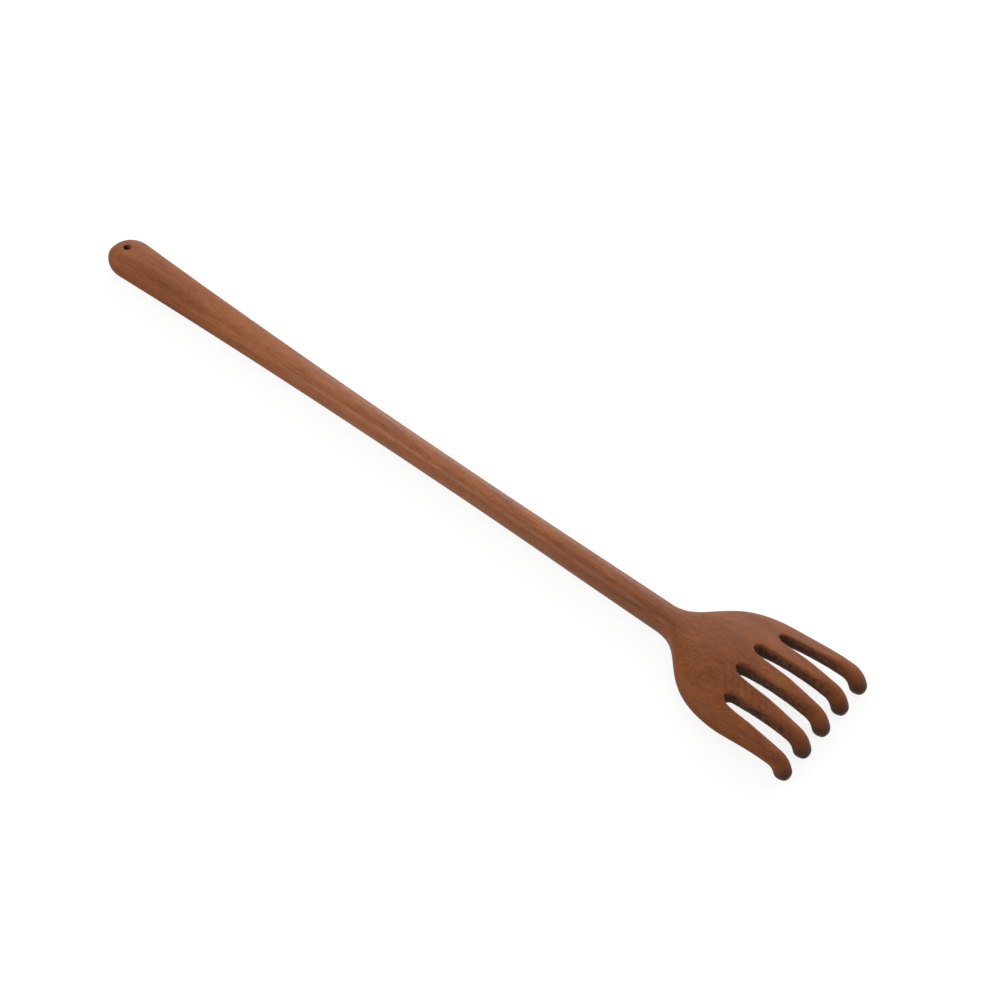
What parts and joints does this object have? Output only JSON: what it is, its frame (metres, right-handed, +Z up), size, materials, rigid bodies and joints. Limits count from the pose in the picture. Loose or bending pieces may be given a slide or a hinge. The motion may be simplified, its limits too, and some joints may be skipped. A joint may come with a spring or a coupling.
{
  "type": "back scratcher",
  "caption": "Carved hardwood back scratcher: a long tapering oval handle with a hanging hole, and a cupped claw head whose slotted fingers curl down at their rounded tips.",
  "frame": {"origin": "under the middle of the length, on the surface that the object rests on", "axes": "+X along the handle from the grip to the fingertips, Y across the fingers, +Z up out of the back of the claw"},
  "size_m": [0.4498, 0.0728, 0.0186],
  "materials": {
    "handle_wood": "satin oil",
    "head_wood": "satin oil",
    "dowel_wood": "bare beech"
  },
  "bodies": {
    "root": {"handle": "handle_wood", "claw_head": "head_wood", "neck_dowel": "dowel_wood"}
  },
  "joints": []
}
